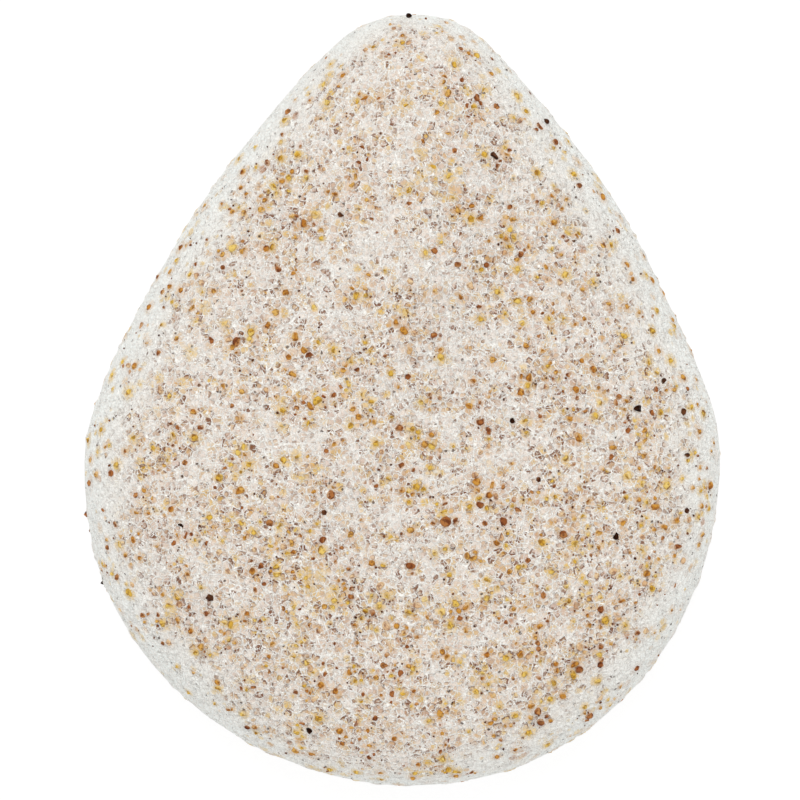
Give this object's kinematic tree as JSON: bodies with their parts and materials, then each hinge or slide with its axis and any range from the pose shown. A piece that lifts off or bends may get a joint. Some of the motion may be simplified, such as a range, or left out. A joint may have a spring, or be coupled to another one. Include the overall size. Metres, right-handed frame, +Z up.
{
  "type": "konjac facial sponge",
  "caption": "Teardrop facial sponge of pale konjac foam with a crowned top, a flat underside and coarse amber grit set in its open-celled skin.",
  "frame": {"origin": "under the middle of the outline's box, on the flat face that the sponge rests on", "axes": "+Z up through the crown, +Y along the length towards the tip, +X to the right when the tip points up"},
  "size_m": [0.0795, 0.0966, 0.0274],
  "materials": {
    "foam": "matte",
    "amber_grit": "satin",
    "yellow_grit": "satin",
    "rust_grit": "satin",
    "tan_grit": "satin",
    "dark_grit": "satin"
  },
  "bodies": {
    "root": {"foam_body": "foam", "amber_granules": "amber_grit", "yellow_granules": "yellow_grit", "rust_granules": "rust_grit", "tan_granules": "tan_grit", "dark_granules": "dark_grit"}
  },
  "joints": []
}
